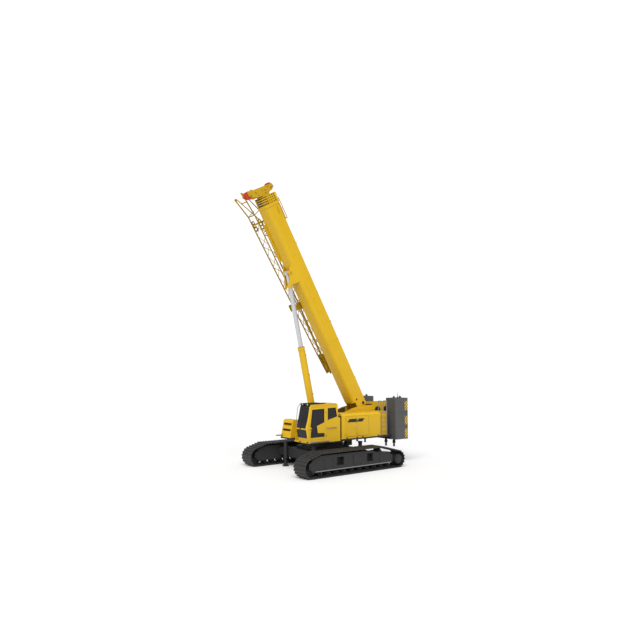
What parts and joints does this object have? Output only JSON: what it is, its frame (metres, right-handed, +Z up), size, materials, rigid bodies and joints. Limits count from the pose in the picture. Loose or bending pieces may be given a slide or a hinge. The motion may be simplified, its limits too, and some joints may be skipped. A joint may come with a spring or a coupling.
{
  "type": "telescopic-boom crawler crane",
  "caption": "Crawler crane with a raised telescopic box boom, luffing cylinder, stowed lattice jib, side cab and rear counterweights.",
  "frame": {"origin": "on the ground, under the slewing axis, which is the middle of the two tracks' footprint", "axes": "+X forward, where the boom points; +Y left, the cab's side; +Z up"},
  "size_m": [9.7602, 5.66, 14.7075],
  "materials": {
    "yellow": "semi-gloss warm yellow paint",
    "dark_grey": "satin dark grey paint",
    "shoe_steel": "worn dark steel",
    "weight_grey": "satin grey paint",
    "pin_steel": "bare turned steel",
    "engine_iron": "dull cast surface",
    "rod_chrome": "polished hard chrome",
    "glass": "dark tinted glass",
    "black_plastic": "matt black",
    "sheave_red": "satin red paint",
    "drum_steel": "satin dark grey paint",
    "black_steel": "satin black paint",
    "rail_zinc": "dull zinc coat"
  },
  "bodies": {
    "undercarriage": {"car_body": "dark_grey", "slew_ring_fixed": "dark_grey", "track_left": "shoe_steel", "track_right": "shoe_steel", "track_frame_left": "dark_grey", "track_frame_right": "dark_grey", "rollers_left": "dark_grey", "rollers_right": "dark_grey", "final_drive_left": "dark_grey", "final_drive_right": "dark_grey"},
    "upper": {"cab_glass": "glass", "cab_guard": "black_steel", "cab_rails": "rail_zinc", "cab_seat": "black_plastic", "cab_shell": "yellow", "counterweight_base": "weight_grey", "counterweight_left": "weight_grey", "counterweight_right": "weight_grey", "deck_left": "dark_grey", "deck_right": "dark_grey", "engine": "engine_iron", "front_box": "yellow", "hood_left": "yellow", "hood_right": "yellow", "ladder": "dark_grey", "pivot_pins": "pin_steel", "slew_ring_turning": "dark_grey", "tank_right": "yellow", "turntable": "yellow", "winch_frame": "yellow", "work_lamps": "black_steel"},
    "cab_door": {"cab_door": "yellow", "door_glass": "glass"},
    "hood_door_front": {"hood_door_front": "yellow"},
    "hood_door_rear": {"hood_door_rear": "yellow"},
    "winch_drum_main": {"winch_drum_main": "drum_steel"},
    "winch_drum_auxiliary": {"winch_drum_auxiliary": "drum_steel"},
    "boom": {"boom_base": "yellow", "luff_pin": "pin_steel", "jib": "yellow", "jib_brackets": "yellow"},
    "boom_section_1": {"boom_section_1": "yellow"},
    "boom_section_2": {"boom_section_2": "yellow"},
    "boom_section_3": {"boom_section_3": "yellow"},
    "boom_section_4": {"boom_section_4": "yellow", "boom_head": "yellow"},
    "hoist_sheaves": {"hoist_sheaves": "sheave_red"},
    "top_sheaves": {"top_sheaves": "sheave_red"},
    "cylinder_rod": {"cylinder_rod": "rod_chrome"},
    "cylinder_barrel": {"cylinder_barrel": "yellow"},
    "jack_leg_front_left": {"jack_leg_front_left": "dark_grey"},
    "jack_leg_front_right": {"jack_leg_front_right": "dark_grey"},
    "jack_leg_rear_left": {"jack_leg_rear_left": "dark_grey"},
    "jack_leg_rear_right": {"jack_leg_rear_right": "dark_grey"}
  },
  "joints": [
    {"name": "slew", "type": "hinge", "parent": "undercarriage", "child": "upper", "pos_m": [0, 0, 1.235], "axis": [0, 0, 1], "continuous": true},
    {"name": "luff", "type": "hinge", "parent": "upper", "child": "boom", "pos_m": [-2.49, 0, 3.28], "axis": [0, -1, 0], "range_deg": [-62, 20]},
    {"name": "rod_swing", "type": "hinge", "parent": "boom", "child": "cylinder_rod", "pos_m": [2.34318, 0, 10.13131], "axis": [0, -1, 0], "range_deg": [-9.4, 3.1]},
    {"name": "barrel_slide", "type": "slide", "parent": "cylinder_rod", "child": "cylinder_barrel", "axis": [-0.2216, 0, -0.9751], "range_m": [-3.2, 1.05]},
    {"name": "telescope_1", "type": "slide", "parent": "boom", "child": "boom_section_1", "axis": [0.5, 0, 0.866], "range_m": [0, 9.3]},
    {"name": "telescope_2", "type": "slide", "parent": "boom_section_1", "child": "boom_section_2", "axis": [0.5, 0, 0.866], "range_m": [0, 9.3]},
    {"name": "telescope_3", "type": "slide", "parent": "boom_section_2", "child": "boom_section_3", "axis": [0.5, 0, 0.866], "range_m": [0, 9.3]},
    {"name": "telescope_4", "type": "slide", "parent": "boom_section_3", "child": "boom_section_4", "axis": [0.5, 0, 0.866], "range_m": [0, 9.3]},
    {"name": "hoist_sheave_spin", "type": "hinge", "parent": "boom_section_4", "child": "hoist_sheaves", "pos_m": [4.85995, 0, 13.77048], "axis": [0, 1, 0], "continuous": true},
    {"name": "top_sheave_spin", "type": "hinge", "parent": "boom_section_4", "child": "top_sheaves", "pos_m": [3.57073, 0, 14.49749], "axis": [0, 1, 0], "continuous": true},
    {"name": "main_winch_spin", "type": "hinge", "parent": "upper", "child": "winch_drum_main", "pos_m": [-3.64, 0, 2.83], "axis": [0, 1, 0], "continuous": true},
    {"name": "auxiliary_winch_spin", "type": "hinge", "parent": "upper", "child": "winch_drum_auxiliary", "pos_m": [-4.3, 0, 2.83], "axis": [0, 1, 0], "continuous": true},
    {"name": "cab_door_swing", "type": "hinge", "parent": "upper", "child": "cab_door", "pos_m": [1.006, 1.539, 2.4], "axis": [0, 0, 1], "range_deg": [0, 140]},
    {"name": "hood_door_front_swing", "type": "hinge", "parent": "upper", "child": "hood_door_front", "pos_m": [-0.34, 1.522, 2.15], "axis": [0, 0, -1], "range_deg": [0, 95]},
    {"name": "hood_door_rear_swing", "type": "hinge", "parent": "upper", "child": "hood_door_rear", "pos_m": [-1.14, 1.522, 2.15], "axis": [0, 0, -1], "range_deg": [0, 95]},
    {"name": "jack_front_left_slide", "type": "slide", "parent": "undercarriage", "child": "jack_leg_front_left", "axis": [0, 0, -1], "range_m": [-0.27, 0.36]},
    {"name": "jack_front_right_slide", "type": "slide", "parent": "undercarriage", "child": "jack_leg_front_right", "axis": [0, 0, -1], "range_m": [-0.27, 0.36]},
    {"name": "jack_rear_left_slide", "type": "slide", "parent": "undercarriage", "child": "jack_leg_rear_left", "axis": [0, 0, -1], "range_m": [-0.27, 0.36]},
    {"name": "jack_rear_right_slide", "type": "slide", "parent": "undercarriage", "child": "jack_leg_rear_right", "axis": [0, 0, -1], "range_m": [-0.27, 0.36]}
  ],
  "couplings": [
    {"joint": "rod_swing", "follows": "luff", "ratio": 0.15},
    {"joint": "barrel_slide", "follows": "luff", "m_per_rad": 2.95},
    {"joint": "telescope_2", "follows": "telescope_1", "ratio": 1},
    {"joint": "telescope_3", "follows": "telescope_1", "ratio": 1},
    {"joint": "telescope_4", "follows": "telescope_1", "ratio": 1}
  ]
}
